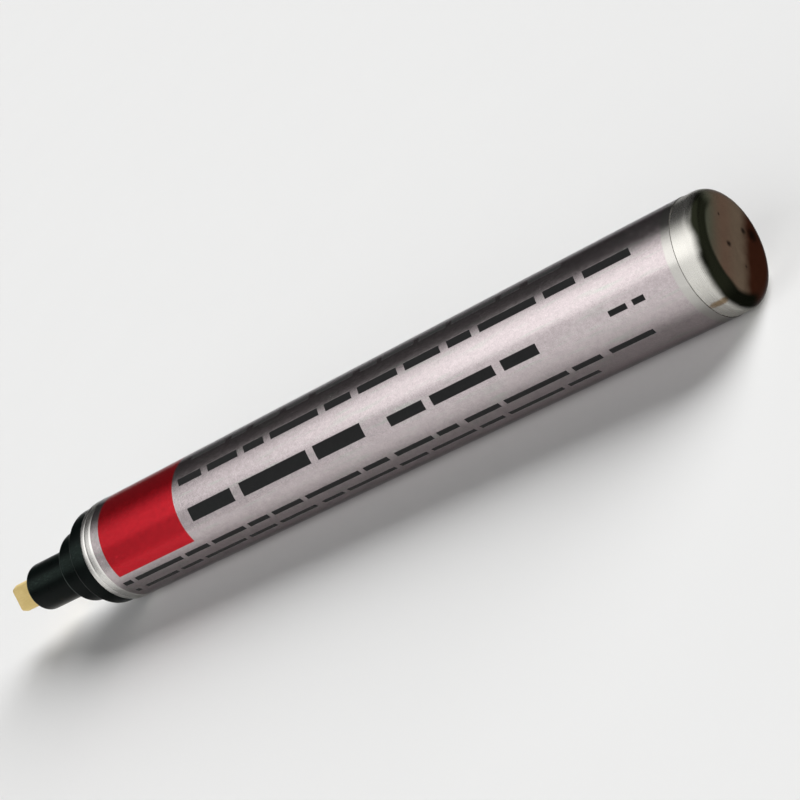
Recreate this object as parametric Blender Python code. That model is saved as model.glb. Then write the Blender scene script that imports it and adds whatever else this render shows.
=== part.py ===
"""Valve-action cleaning pen: an aluminium barrel with a chisel nib that opens a sprung valve.

Frame: metres. The pen lies on its side. The origin is the centre of the flat rear face, +X runs
along the pen towards the nib and +Z is up. Pressing the nib in pushes the valve stem off its seat.
"""
import math

import bmesh
import bpy
from mathutils import Matrix, Vector

# How finely round shapes are cut
SIDES = 32
ROUND_STEPS = 4
SECTION_STEPS = 3
RING_SECTION_SIDES = 10
WIRE_SIDES = 8
POINTS_PER_COIL = 12
WELD_DISTANCE = 0.000001
SMOOTH_ANGLE = math.radians(35)
# The turned pieces have a flat, not a corner, straight down: the pen rests on it
HALF_SIDE_SHARE = 0.5

# Aluminium barrel
BARREL_LENGTH = 0.1241
BARREL_RADIUS = 0.00842
BARREL_WALL = 0.0004
BASE_THICKNESS = 0.0008
REAR_CORNER_RADIUS = 0.0020
RIM_LENGTH = 0.0026
RIM_SWELL = 0.0001
RIM_ROLL_RADIUS = 0.0006
LIP_REACH = 0.00047
CRIMP_SETBACK = 0.00115
CRIMP_WIDTH = 0.0004
CRIMP_DEPTH = 0.00014

# Printed film wrapped round the barrel
FILM_THICKNESS = 0.00006
FILM_GLUE_GAP = 0.00002
FILM_REAR_MARGIN = 0.0038
FILM_END_GAP = 0.0001

# Moulded front collar
FACE_GAP = 0.00005
LIP_CLEARANCE = 0.0001
FLANGE_INSET = 0.00034
FLANGE_LENGTH = 0.0034
FLANGE_ROUND = 0.0005
NECK_WALL = 0.0019
NECK_LENGTH = 0.0056
NECK_ROUND = 0.0008
SOCKET_DEPTH = 0.0057
PLUG_LENGTH = 0.0090
PLUG_CLEARANCE = 0.00015
BORE_CLEARANCE = 0.00008
POCKET_INNER_SHARE = 0.42
POCKET_OUTER_SHARE = 0.72
POCKET_DEPTH_SHARE = 0.7

# Rubber ring that seals the collar in the barrel
GASKET_SECTION = 0.0009
GASKET_CLEARANCE = 0.00006
GASKET_PLACE_SHARE = 0.55

# Nib sleeve, pressed into the neck
SLEEVE_RADIUS = 0.00412
SLEEVE_REACH = 0.01155
SLEEVE_ROUND = 0.0008
SLEEVE_CLEARANCE = 0.00008

# Fibre chisel nib
NIB_WIDTH = 0.0049
NIB_THICKNESS = 0.0034
NIB_EDGE_ROUND = 0.0007
NIB_REACH = 0.0060
NIB_TAIL = 0.00105
NIB_TIP_LENGTH = 0.0010
NIB_TIP_WIDTH_CUT = 0.0004
NIB_TIP_THICKNESS_CUT = 0.0002
NIB_CLEARANCE = 0.00015
NIB_TRAVEL = 0.0012
# The nib's broad faces and the printed side look this far round from straight up, towards +Y
PRINT_TURN = math.radians(60)

# Valve
STEM_RADIUS = 0.0013
STEM_NOSE_ROOM = 0.00195
FLOW_GAP = 0.0006
SEAT_THICKNESS = 0.0011
SEAL_GAP = 0.00012
CONE_SLOPE_SHARE = 0.6
HEAD_OVERHANG = 0.0009
HEAD_LENGTH = 0.0010
HEAD_ROOM = 0.0012
TAIL_RADIUS = 0.0011
TAIL_PROUD = 0.0003
SPRING_WIRE = 0.00045
SPRING_COILS = 7
SPRING_LENGTH = 0.0098
SPRING_CLEARANCE = 0.0006
CAGE_WALL = 0.0008
CAGE_FLOOR = 0.0010
GUIDE_CLEARANCE = 0.0002
WINDOW_WIDTH = 0.0026
WINDOW_REAR_SHARE = 0.05
WINDOW_FRONT_SHARE = 0.40
WINDOW_PAIRS = 2
CUT_OVERRUN = 0.001

# Barrel and rim
BORE_RADIUS = BARREL_RADIUS - BARREL_WALL
RIM_RADIUS = BARREL_RADIUS + RIM_SWELL
RIM_START = BARREL_LENGTH - RIM_LENGTH
LIP_RADIUS = BORE_RADIUS - LIP_REACH
LIP_REAR = BARREL_LENGTH - BARREL_WALL

# Places along the pen, from the rim forwards
FLANGE_RADIUS = RIM_RADIUS - FLANGE_INSET
FLANGE_REAR = BARREL_LENGTH + LIP_CLEARANCE
FLANGE_FRONT = FLANGE_REAR + FLANGE_LENGTH
SOCKET_RADIUS = SLEEVE_RADIUS + SLEEVE_CLEARANCE
NECK_RADIUS = SOCKET_RADIUS + NECK_WALL
NECK_FRONT = FLANGE_FRONT + NECK_LENGTH
SOCKET_REAR = NECK_FRONT - SOCKET_DEPTH
SLEEVE_REAR = SOCKET_REAR + FACE_GAP
SLEEVE_FRONT = NECK_FRONT + SLEEVE_REACH
NIB_REAR = SLEEVE_REAR - NIB_TAIL
NIB_FRONT = SLEEVE_FRONT + NIB_REACH
PASSAGE_RADIUS = math.hypot(NIB_WIDTH, NIB_THICKNESS) / 2 + NIB_CLEARANCE

# Places along the pen, from the nib's passage back to the valve
CHAMBER_FRONT = SLEEVE_REAR - NIB_TAIL - NIB_TRAVEL - STEM_NOSE_ROOM
PLUG_REAR = BARREL_LENGTH - PLUG_LENGTH
PLUG_RADIUS = BORE_RADIUS - PLUG_CLEARANCE
SEAT_FRONT = CHAMBER_FRONT - FACE_GAP
SEAT_REAR = SEAT_FRONT - SEAT_THICKNESS
SEAT_HOLE = STEM_RADIUS + FLOW_GAP
SEAL_RADIUS = SEAT_HOLE - SEAL_GAP
HEAD_RADIUS = SEAT_HOLE + HEAD_OVERHANG
CONE_FRONT = SEAT_REAR + (SEAL_RADIUS - STEM_RADIUS) / CONE_SLOPE_SHARE
CONE_REAR = SEAT_REAR - (HEAD_RADIUS - SEAL_RADIUS) / CONE_SLOPE_SHARE
HEAD_REAR = CONE_REAR - HEAD_LENGTH
CAGE_FRONT = SEAT_REAR - FACE_GAP
CAGE_INSIDE = HEAD_REAR - SPRING_LENGTH
CAGE_REAR = CAGE_INSIDE - CAGE_FLOOR
CAGE_BORE = HEAD_RADIUS + HEAD_ROOM
CAGE_RADIUS = CAGE_BORE + CAGE_WALL
CHAMBER_RADIUS = CAGE_RADIUS + BORE_CLEARANCE
GUIDE_RADIUS = TAIL_RADIUS + GUIDE_CLEARANCE
TAIL_END = CAGE_REAR - TAIL_PROUD

# The rubber ring sits in a groove round the collar's plug
GASKET_RADIUS = BORE_RADIUS - GASKET_CLEARANCE - GASKET_SECTION / 2
GASKET_X = PLUG_REAR + PLUG_LENGTH * GASKET_PLACE_SHARE
GROOVE_RADIUS = GASKET_RADIUS - GASKET_SECTION / 2 - GASKET_CLEARANCE
GROOVE_HALF_WIDTH = GASKET_SECTION / 2 + GASKET_CLEARANCE


def clear_scene():
    """Removes every object of the open scene."""
    for old in list(bpy.data.objects):
        bpy.data.objects.remove(old, do_unlink=True)


def plain_material(name, colour, roughness, metallic=0.0):
    """A Principled material of one colour."""
    material = bpy.data.materials.new(name)
    material.use_nodes = True
    shader = material.node_tree.nodes["Principled BSDF"]
    shader.inputs["Base Color"].default_value = (*colour, 1.0)
    shader.inputs["Roughness"].default_value = roughness
    shader.inputs["Metallic"].default_value = metallic
    return material


def round_corner(centre, radius, start, stop, steps=ROUND_STEPS):
    """Points of an arc about centre, from start to stop degrees, where 0 looks along the first axis."""
    points = []
    for step in range(steps + 1):
        angle = math.radians(start + (stop - start) * step / steps)
        points.append((centre[0] + radius * math.cos(angle), centre[1] + radius * math.sin(angle)))
    return points


def finish_object(bm, name, material, x=0.0):
    """Turns a bmesh into a smooth-shaded object whose origin lies on the pen's axis, x along it."""
    bmesh.ops.recalc_face_normals(bm, faces=bm.faces)
    mesh = bpy.data.meshes.new(name)
    bm.to_mesh(mesh)
    bm.free()
    mesh.materials.append(material)
    mesh.shade_smooth()
    mesh.set_sharp_from_angle(angle=SMOOTH_ANGLE)
    piece = bpy.data.objects.new(name, mesh)
    piece.location = (x, 0.0, 0.0)
    bpy.context.collection.objects.link(piece)
    return piece


def turned(name, outline, material, ring=False, origin=0.0):
    """Turns an outline of (x, radius) points about the pen's axis.

    A ring joins its last point to its first. Otherwise the two ends are closed by flat faces.
    """
    bm = bmesh.new()
    start = math.tau * HALF_SIDE_SHARE / SIDES
    verts = [
        bm.verts.new((x - origin, r * math.sin(start), r * math.cos(start)))
        for x, r in outline
    ]
    pairs = list(zip(verts, verts[1:]))
    if ring:
        pairs.append((verts[-1], verts[0]))
    edges = [bm.edges.new(pair) for pair in pairs]
    bmesh.ops.spin(
        bm, geom=verts + edges, cent=(0.0, 0.0, 0.0), axis=(1.0, 0.0, 0.0),
        angle=math.tau, steps=SIDES, use_duplicate=False,
    )
    bmesh.ops.remove_doubles(bm, verts=bm.verts, dist=WELD_DISTANCE)
    ends = [edge for edge in bm.edges if edge.is_boundary]
    if ends:
        bmesh.ops.edgeloop_fill(bm, edges=ends)
    return finish_object(bm, name, material, origin)


def rounded_section(width, thickness, radius):
    """Points of a rectangle with round corners, width along the first axis."""
    across = width / 2 - radius
    up = thickness / 2 - radius
    points = []
    for quarter, (a, b) in enumerate([(across, up), (-across, up), (-across, -up), (across, -up)]):
        points += round_corner((a, b), radius, 90 * quarter, 90 * (quarter + 1), SECTION_STEPS)
    return points


def lofted_bar(bm, sections):
    """Skins a bar through (x, section points) stations and closes both ends."""
    loops = []
    for x, points in sections:
        loops.append([
            bm.verts.new((
                x,
                b * math.sin(PRINT_TURN) - a * math.cos(PRINT_TURN),
                b * math.cos(PRINT_TURN) + a * math.sin(PRINT_TURN),
            ))
            for a, b in points
        ])
    for near, far in zip(loops, loops[1:]):
        for k, vert in enumerate(near):
            after = (k + 1) % len(near)
            bm.faces.new((vert, near[after], far[after], far[k]))
    bm.faces.new(loops[0])
    bm.faces.new(loops[-1])


def swept_wire(name, path, wire_radius, material):
    """A round wire along a path of points, closed at both ends."""
    bm = bmesh.new()
    rings = []
    for k, point in enumerate(path):
        along = (path[min(k + 1, len(path) - 1)] - path[max(k - 1, 0)]).normalized()
        outward = Vector((0.0, point.y, point.z)).normalized()
        outward = (outward - along * outward.dot(along)).normalized()
        aside = along.cross(outward)
        ring = []
        for side in range(WIRE_SIDES):
            angle = math.tau * side / WIRE_SIDES
            ring.append(bm.verts.new(point + wire_radius * (math.cos(angle) * outward + math.sin(angle) * aside)))
        rings.append(ring)
    for near, far in zip(rings, rings[1:]):
        for side in range(WIRE_SIDES):
            after = (side + 1) % WIRE_SIDES
            bm.faces.new((near[side], near[after], far[after], far[side]))
    bm.faces.new(rings[0])
    bm.faces.new(rings[-1])
    return finish_object(bm, name, material)


def cut(piece, cutter):
    """Takes the cutter's shape out of the piece and keeps the cutter as a hidden guide."""
    cutter.hide_render = True
    cutter.display_type = 'WIRE'
    boolean = piece.modifiers.new("cut_" + cutter.name, 'BOOLEAN')
    boolean.operation = 'DIFFERENCE'
    boolean.solver = 'EXACT'
    boolean.object = cutter


def make_barrel(material):
    """Drawn aluminium can: flat base, thin wall, and a mouth rolled in over the collar's plug."""
    roll = min(RIM_ROLL_RADIUS, RIM_RADIUS - LIP_RADIUS)
    crimp = BARREL_LENGTH - CRIMP_SETBACK
    inner_corner = REAR_CORNER_RADIUS - BARREL_WALL
    outline = round_corner(
        (REAR_CORNER_RADIUS, BARREL_RADIUS - REAR_CORNER_RADIUS), REAR_CORNER_RADIUS, 180, 90)
    outline += [
        (RIM_START, BARREL_RADIUS),
        (RIM_START + RIM_SWELL, RIM_RADIUS),
        (crimp - CRIMP_WIDTH / 2, RIM_RADIUS),
        (crimp, RIM_RADIUS - CRIMP_DEPTH),
        (crimp + CRIMP_WIDTH / 2, RIM_RADIUS),
    ]
    outline += round_corner((BARREL_LENGTH - roll, RIM_RADIUS - roll), roll, 90, 0)
    outline += [
        (BARREL_LENGTH, LIP_RADIUS),
        (LIP_REAR, LIP_RADIUS),
        (LIP_REAR, BORE_RADIUS),
    ]
    outline += round_corner(
        (BASE_THICKNESS + inner_corner, BORE_RADIUS - inner_corner), inner_corner, 90, 180)
    return turned("barrel", outline, material)


def make_label_film(material):
    """Printed film wrapped round the barrel, from near the base to the rim's bead."""
    inner = BARREL_RADIUS + FILM_GLUE_GAP
    outer = inner + FILM_THICKNESS
    front = RIM_START - FILM_END_GAP
    outline = [
        (FILM_REAR_MARGIN, inner),
        (FILM_REAR_MARGIN, outer),
        (front, outer),
        (front, inner),
    ]
    return turned("label_film", outline, material, ring=True)


def make_front_collar(material):
    """Moulded collar: a plug held by the rolled lip, a flange in front of it and a round-edged neck."""
    crimp_radius = LIP_RADIUS - LIP_CLEARANCE
    pocket_wall = GROOVE_RADIUS - CHAMBER_RADIUS
    pocket_inner = CHAMBER_RADIUS + pocket_wall * POCKET_INNER_SHARE
    pocket_outer = CHAMBER_RADIUS + pocket_wall * POCKET_OUTER_SHARE
    pocket_front = PLUG_REAR + PLUG_LENGTH * POCKET_DEPTH_SHARE
    outline = [
        (PLUG_REAR, PLUG_RADIUS),
        (GASKET_X - GROOVE_HALF_WIDTH, PLUG_RADIUS),
        (GASKET_X - GROOVE_HALF_WIDTH, GROOVE_RADIUS),
        (GASKET_X + GROOVE_HALF_WIDTH, GROOVE_RADIUS),
        (GASKET_X + GROOVE_HALF_WIDTH, PLUG_RADIUS),
        (LIP_REAR - LIP_CLEARANCE, PLUG_RADIUS),
        (LIP_REAR - LIP_CLEARANCE, crimp_radius),
        (FLANGE_REAR, crimp_radius),
        (FLANGE_REAR, FLANGE_RADIUS),
    ]
    outline += round_corner(
        (FLANGE_FRONT - FLANGE_ROUND, FLANGE_RADIUS - FLANGE_ROUND), FLANGE_ROUND, 90, 0)
    outline.append((FLANGE_FRONT, NECK_RADIUS))
    neck_round = min(NECK_ROUND, NECK_WALL)
    outline += round_corner((NECK_FRONT - neck_round, NECK_RADIUS - neck_round), neck_round, 90, 0)
    outline += [
        (NECK_FRONT, SOCKET_RADIUS),
        (SOCKET_REAR, SOCKET_RADIUS),
        (SOCKET_REAR, PASSAGE_RADIUS),
        (CHAMBER_FRONT, PASSAGE_RADIUS),
        (CHAMBER_FRONT, CHAMBER_RADIUS),
        (PLUG_REAR, CHAMBER_RADIUS),
        (PLUG_REAR, pocket_inner),
        (pocket_front, pocket_inner),
        (pocket_front, pocket_outer),
        (PLUG_REAR, pocket_outer),
    ]
    return turned("front_collar", outline, material, ring=True)


def make_collar_gasket(material):
    """Rubber ring in the groove round the collar's plug."""
    outline = round_corner(
        (GASKET_X, GASKET_RADIUS), GASKET_SECTION / 2, 0, 360, RING_SECTION_SIDES)[:-1]
    return turned("collar_gasket", outline, material, ring=True)


def make_nib_sleeve(material):
    """Round sleeve with a slot through it that guides the flat nib."""
    outline = [(SLEEVE_REAR, SLEEVE_RADIUS)]
    outline += round_corner(
        (SLEEVE_FRONT - SLEEVE_ROUND, SLEEVE_RADIUS - SLEEVE_ROUND), SLEEVE_ROUND, 90, 0)
    sleeve = turned("nib_sleeve", outline, material)
    bm = bmesh.new()
    slot = rounded_section(
        NIB_WIDTH + 2 * NIB_CLEARANCE, NIB_THICKNESS + 2 * NIB_CLEARANCE, NIB_EDGE_ROUND + NIB_CLEARANCE)
    lofted_bar(bm, [(SLEEVE_REAR - CUT_OVERRUN, slot), (SLEEVE_FRONT + CUT_OVERRUN, slot)])
    cut(sleeve, finish_object(bm, "sleeve_slot", material))
    return sleeve


def make_nib(material):
    """Flat fibre nib whose tip narrows to a blunt chisel; its origin is its rear end."""
    full = rounded_section(NIB_WIDTH, NIB_THICKNESS, NIB_EDGE_ROUND)
    tip = rounded_section(
        NIB_WIDTH - 2 * NIB_TIP_WIDTH_CUT, NIB_THICKNESS - 2 * NIB_TIP_THICKNESS_CUT, NIB_EDGE_ROUND)
    length = NIB_FRONT - NIB_REAR
    bm = bmesh.new()
    lofted_bar(bm, [(0.0, full), (length - NIB_TIP_LENGTH, full), (length, tip)])
    return finish_object(bm, "nib", material, NIB_REAR)


def make_valve_seat(material):
    """Rubber washer that the stem's cone closes."""
    outline = [
        (SEAT_REAR, SEAT_HOLE),
        (SEAT_REAR, CAGE_RADIUS),
        (SEAT_FRONT, CAGE_RADIUS),
        (SEAT_FRONT, SEAT_HOLE),
    ]
    return turned("valve_seat", outline, material, ring=True)


def make_valve_stem(material):
    """Moulded stem: a nose that meets the nib, a sealing cone, and a tail that carries the spring."""
    nose = NIB_REAR - FACE_GAP
    outline = [
        (TAIL_END, TAIL_RADIUS),
        (HEAD_REAR, TAIL_RADIUS),
        (HEAD_REAR, HEAD_RADIUS),
        (CONE_REAR, HEAD_RADIUS),
        (CONE_FRONT, STEM_RADIUS),
        (nose, STEM_RADIUS),
    ]
    return turned("valve_stem", outline, material, origin=nose)


def make_valve_spring(material):
    """Coil spring on the stem's tail, between the stem's head and the cage's floor."""
    coil_radius = TAIL_RADIUS + SPRING_CLEARANCE + SPRING_WIRE / 2
    rear = CAGE_INSIDE + FACE_GAP + SPRING_WIRE / 2
    front = HEAD_REAR - FACE_GAP - SPRING_WIRE / 2
    count = SPRING_COILS * POINTS_PER_COIL
    path = []
    for k in range(count + 1):
        turn = math.tau * k / POINTS_PER_COIL
        x = rear + (front - rear) * k / count
        path.append(Vector((x, coil_radius * math.cos(turn), coil_radius * math.sin(turn))))
    pitch = (front - rear) / SPRING_COILS
    print("Least gap between the spring's coils in metres:", round(pitch - SPRING_WIRE, 6))
    return swept_wire("valve_spring", path, SPRING_WIRE / 2, material)


def make_spring_cage(material):
    """Cup that clamps the seat, holds the spring and lets liquid in through windows in its wall."""
    outline = [
        (CAGE_REAR, GUIDE_RADIUS),
        (CAGE_REAR, CAGE_RADIUS),
        (CAGE_FRONT, CAGE_RADIUS),
        (CAGE_FRONT, CAGE_BORE),
        (CAGE_INSIDE, CAGE_BORE),
        (CAGE_INSIDE, GUIDE_RADIUS),
    ]
    cage = turned("spring_cage", outline, material, ring=True)
    chamber = CAGE_FRONT - CAGE_INSIDE
    rear = CAGE_INSIDE + chamber * WINDOW_REAR_SHARE
    front = CAGE_INSIDE + chamber * WINDOW_FRONT_SHARE
    reach = CAGE_RADIUS + CUT_OVERRUN
    for pair in range(WINDOW_PAIRS):
        bm = bmesh.new()
        bmesh.ops.create_cube(bm, size=1.0)
        bmesh.ops.scale(bm, vec=(front - rear, 2 * reach, WINDOW_WIDTH), verts=bm.verts)
        bmesh.ops.rotate(
            bm, verts=bm.verts, cent=(0.0, 0.0, 0.0),
            matrix=Matrix.Rotation(math.pi * pair / WINDOW_PAIRS, 3, 'X'))
        cut(cage, finish_object(bm, "cage_window_" + str(pair + 1), material, (rear + front) / 2))
    return cage


def main():
    """Builds the pen's pieces and hangs them on one empty at the rear face."""
    clear_scene()
    aluminium = plain_material("bare_aluminium", (0.72, 0.71, 0.68), 0.28, 1.0)
    film = plain_material("printed_film", (0.46, 0.42, 0.43), 0.32, 0.6)
    black = plain_material("black_moulding", (0.012, 0.018, 0.017), 0.38)
    fibre = plain_material("cream_fibre", (0.62, 0.45, 0.16), 0.9)
    rubber = plain_material("seal_rubber", (0.03, 0.03, 0.03), 0.8)
    natural = plain_material("natural_plastic", (0.78, 0.78, 0.74), 0.45)
    steel = plain_material("spring_steel", (0.55, 0.55, 0.55), 0.25, 1.0)
    frame = bpy.data.objects.new("pen_frame", None)
    bpy.context.collection.objects.link(frame)
    pieces = [
        make_barrel(aluminium),
        make_label_film(film),
        make_front_collar(black),
        make_collar_gasket(rubber),
        make_nib_sleeve(black),
        make_nib(fibre),
        make_valve_seat(rubber),
        make_valve_stem(natural),
        make_valve_spring(steel),
        make_spring_cage(natural),
    ]
    for piece in pieces:
        piece.parent = frame


main()
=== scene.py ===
"""Looks of the valve-action cleaning pen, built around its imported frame.

Units are metres, and places inside the finishes are in millimetres. The pen lies along X with
its nib towards +X and its flat rear face at the origin. A turn is an angle round the pen, from
straight up (+Z) towards +Y. The printed side and the nib's broad face look PRINT_TURN round.

In the finishes and the studio an edge is a step's middle and its width, and a window is its two
ends and the width over which they fade.
"""

import logging
import math
from abc import ABC, abstractmethod
from collections.abc import Callable, Sequence
from dataclasses import dataclass
from enum import Enum

import bmesh
import bpy
from mathutils import Matrix, Vector, noise


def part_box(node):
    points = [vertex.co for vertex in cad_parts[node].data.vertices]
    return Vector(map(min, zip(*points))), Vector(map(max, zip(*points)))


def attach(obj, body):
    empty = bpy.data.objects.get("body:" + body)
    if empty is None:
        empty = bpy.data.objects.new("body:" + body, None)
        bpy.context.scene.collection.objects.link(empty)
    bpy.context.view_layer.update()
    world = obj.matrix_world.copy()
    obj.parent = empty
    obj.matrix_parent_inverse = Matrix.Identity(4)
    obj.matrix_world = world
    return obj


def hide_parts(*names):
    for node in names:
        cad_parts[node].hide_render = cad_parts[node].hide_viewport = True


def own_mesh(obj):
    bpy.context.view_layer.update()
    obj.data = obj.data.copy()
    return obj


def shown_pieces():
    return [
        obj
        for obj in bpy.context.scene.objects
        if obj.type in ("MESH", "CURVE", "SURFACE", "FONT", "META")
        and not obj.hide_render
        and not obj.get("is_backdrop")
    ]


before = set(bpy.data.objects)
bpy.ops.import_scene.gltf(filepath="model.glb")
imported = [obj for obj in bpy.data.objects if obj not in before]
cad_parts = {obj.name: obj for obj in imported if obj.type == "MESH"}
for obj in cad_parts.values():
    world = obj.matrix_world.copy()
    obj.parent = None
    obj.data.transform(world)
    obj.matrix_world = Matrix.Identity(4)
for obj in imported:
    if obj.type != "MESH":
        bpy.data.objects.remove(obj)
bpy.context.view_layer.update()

LOG = logging.getLogger("cleaning_pen")
PRINT_TURN = math.radians(60)
MM_PER_METRE = 1000.0

Point = tuple[float, float]
Triple = tuple[float, float, float]
Colour = Triple


class Slot(Enum):
    """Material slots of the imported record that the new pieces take."""

    ALUMINIUM = "bare_aluminium"
    FILM = "printed_film"
    BLACK = "black_moulding"
    FIBRE = "nib_fibre"
    STEEL = "spring_steel"


class Body(Enum):
    """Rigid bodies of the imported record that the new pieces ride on."""

    PEN = "pen_body"
    NIB = "nib_body"


class Signal:
    """One number travelling through a shader. Arithmetic on it adds Math nodes."""

    def __init__(self, graph: "Graph", socket: bpy.types.NodeSocket) -> None:
        """Wraps an output socket of the graph."""
        self.graph = graph
        self.socket = socket

    def _math(self, operation: str, first: "Value", second: "Value" = 0.0) -> "Signal":
        """Adds one Math node."""
        return self.graph.node("ShaderNodeMath", {"operation": operation}, {0: first, 1: second})

    def __add__(self, other: "Value") -> "Signal":
        """self + other."""
        return self._math("ADD", self, other)

    __radd__ = __add__

    def __sub__(self, other: "Value") -> "Signal":
        """self - other."""
        return self._math("SUBTRACT", self, other)

    def __rsub__(self, other: "Value") -> "Signal":
        """other - self."""
        return self._math("SUBTRACT", other, self)

    def __mul__(self, other: "Value") -> "Signal":
        """self * other."""
        return self._math("MULTIPLY", self, other)

    __rmul__ = __mul__

    def __truediv__(self, other: "Value") -> "Signal":
        """self / other."""
        return self._math("DIVIDE", self, other)

    def __pow__(self, other: "Value") -> "Signal":
        """self to the power of other."""
        return self._math("POWER", self, other)

    def turn_from(self, other: "Value") -> "Signal":
        """Angle in degrees of the direction (self, other), measured from other's axis."""
        return self._math("ARCTAN2", self, other) * math.degrees(1.0)

    def size(self) -> "Signal":
        """The value without its sign."""
        return self._math("ABSOLUTE", self)

    def or_more(self, other: "Value") -> "Signal":
        """The larger of two values."""
        return self._math("MAXIMUM", self, other)

    def distance(self, other: "Signal") -> "Signal":
        """Length of the vector (self, other)."""
        return (self * self + other * other) ** 0.5

    def rise(self, edge: float, soft: float) -> "Signal":
        """0 below an edge and 1 above it, with a smooth step as wide as soft."""
        return self.graph.node(
            "ShaderNodeMapRange",
            {"interpolation_type": "SMOOTHSTEP"},
            {"Value": self, "From Min": edge - soft / 2, "From Max": edge + soft / 2},
        )

    def window(self, low: float, high: float, soft: float) -> "Signal":
        """1 between two edges and 0 outside them."""
        return self.rise(low, soft) * (1 - self.rise(high, soft))


Value = Signal | float


def print_angle(y: Signal, z: Signal) -> Signal:
    """Angle of a place round the pen from the print's middle, in degrees, upwards positive."""
    return math.degrees(PRINT_TURN) - y.turn_from(z)


class Graph:
    """A node tree that is written as expressions."""

    def __init__(self, tree: bpy.types.NodeTree) -> None:
        """Empties the tree."""
        self.tree = tree
        tree.nodes.clear()

    def node(
        self, kind: str, settings: dict | None = None, inputs: dict | None = None, output: int | str = 0
    ) -> Signal:
        """Adds a node.

        Args:
            kind: Blender's type name of the node.
            settings: Properties to set first, or "stops" of a ramp as (place, value) pairs.
            inputs: Values or signals of the sockets, by name or number.
            output: Name or number of the output wanted.

        Returns:
            The output as a signal.
        """
        made = self.tree.nodes.new(kind)
        for name, value in (settings or {}).items():
            if name == "stops":
                self._set_stops(made.color_ramp, value)
            else:
                setattr(made, name, value)
        for key, value in (inputs or {}).items():
            socket = self._socket(made.inputs, key)
            if isinstance(value, Signal):
                self.tree.links.new(value.socket, socket)
            elif socket.type == "RGBA":
                socket.default_value = (*value, 1.0)
            else:
                socket.default_value = value
        return Signal(self, self._socket(made.outputs, output))

    @staticmethod
    def _socket(sockets: bpy.types.bpy_prop_collection, key: int | str) -> bpy.types.NodeSocket:
        """Finds a socket.

        Args:
            sockets: A node's inputs or outputs.
            key: The socket's number, identifier or name.

        Returns:
            The socket.
        """
        if isinstance(key, int):
            return sockets[key]
        for socket in sockets:
            if socket.identifier == key:
                return socket
        return sockets[key]

    @staticmethod
    def _set_stops(ramp: bpy.types.ColorRamp, stops: Sequence[Point]) -> None:
        """Gives a ramp hard steps.

        Args:
            ramp: The ramp, which has two stops to begin with.
            stops: Where each step starts, and its value.
        """
        ramp.interpolation = "CONSTANT"
        while len(ramp.elements) < len(stops):
            ramp.elements.new(1.0)
        for element, (place, value) in zip(ramp.elements, stops):
            element.position = place
            element.color = (value, value, value, 1.0)

    def place(self) -> Signal:
        """Position on the piece in the frame, in millimetres."""
        return self.scaled(self.node("ShaderNodeTexCoord", output="Object"), (MM_PER_METRE,) * 3)

    def scaled(self, vector: Signal, factors: Triple) -> Signal:
        """A vector with each part multiplied."""
        return self.node("ShaderNodeVectorMath", {"operation": "MULTIPLY"}, {0: vector, 1: factors})

    def parts(self, vector: Signal) -> tuple[Signal, Signal, Signal]:
        """Splits a vector.

        Args:
            vector: The vector.

        Returns:
            Its three numbers.
        """
        first = self.node("ShaderNodeSeparateXYZ", {}, {0: vector})
        outputs = first.socket.node.outputs
        return first, Signal(self, outputs[1]), Signal(self, outputs[2])

    def grain(
        self,
        place: Signal,
        scale: float,
        detail: float = 2.0,
        roughness: float = 0.5,
        stretch: Triple | None = None,
    ) -> Signal:
        """Soft noise about 0, from roughly -0.5 to 0.5.

        Args:
            place: Where it is read, as a vector.
            scale: How fine it is.
            detail: Layers of finer noise.
            roughness: Strength of the finer layers.
            stretch: Factors of the place along X, Y and Z. A small one draws the noise out that way.

        Returns:
            The noise there.
        """
        if stretch:
            place = self.scaled(place, stretch)
        sockets = {"Vector": place, "Scale": scale, "Detail": detail, "Roughness": roughness}
        return self.node("ShaderNodeTexNoise", {}, sockets) - 0.5

    def grey(self, value: Signal) -> Signal:
        """A number as a grey colour."""
        return self.node("ShaderNodeCombineXYZ", {}, {0: value, 1: value, 2: value})

    def blend(self, share: Value, start: "Signal | Colour", end: "Signal | Colour") -> Signal:
        """Goes from one colour to another as share goes from 0 to 1."""
        return self.node(
            "ShaderNodeMix", {"data_type": "RGBA"},
            {"Factor_Float": share, "A_Color": start, "B_Color": end}, "Result_Color")

    def tinted(self, colour: "Signal | Colour", strength: Signal) -> Signal:
        """A colour made lighter or darker by a number about 1."""
        return self.node(
            "ShaderNodeMix", {"data_type": "RGBA", "blend_type": "MULTIPLY"},
            {"Factor_Float": 1.0, "A_Color": colour, "B_Color": self.grey(strength)}, "Result_Color")

    def bump(self, height: Signal, depth: float) -> Signal:
        """A normal that follows a height from 0 to 1, as deep as depth in metres."""
        return self.node("ShaderNodeBump", {}, {"Height": height, "Distance": depth, "Strength": 1.0})

    def surface(self, **sockets: object) -> None:
        """Ends the tree in a Principled shader with these sockets."""
        named = {name.replace("_", " "): value for name, value in sockets.items()}
        self.end("ShaderNodeOutputMaterial", self.node("ShaderNodeBsdfPrincipled", {}, named))

    def end(self, kind: str, shader: Signal) -> None:
        """Links a shader to an output node."""
        output = self.tree.nodes.new(kind)
        self.tree.links.new(shader.socket, output.inputs["Surface"])


class Finish(ABC):
    """A procedural finish that makes one Blender material."""

    @abstractmethod
    def shade(self, graph: Graph) -> None:
        """Writes the finish into an empty node tree.

        Args:
            graph: The tree.
        """

    def material(self) -> bpy.types.Material:
        """Makes the material.

        Returns:
            The material, named after the finish.
        """
        made = bpy.data.materials.new(type(self).__name__)
        made.use_nodes = True
        self.shade(Graph(made.node_tree))
        return made


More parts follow.
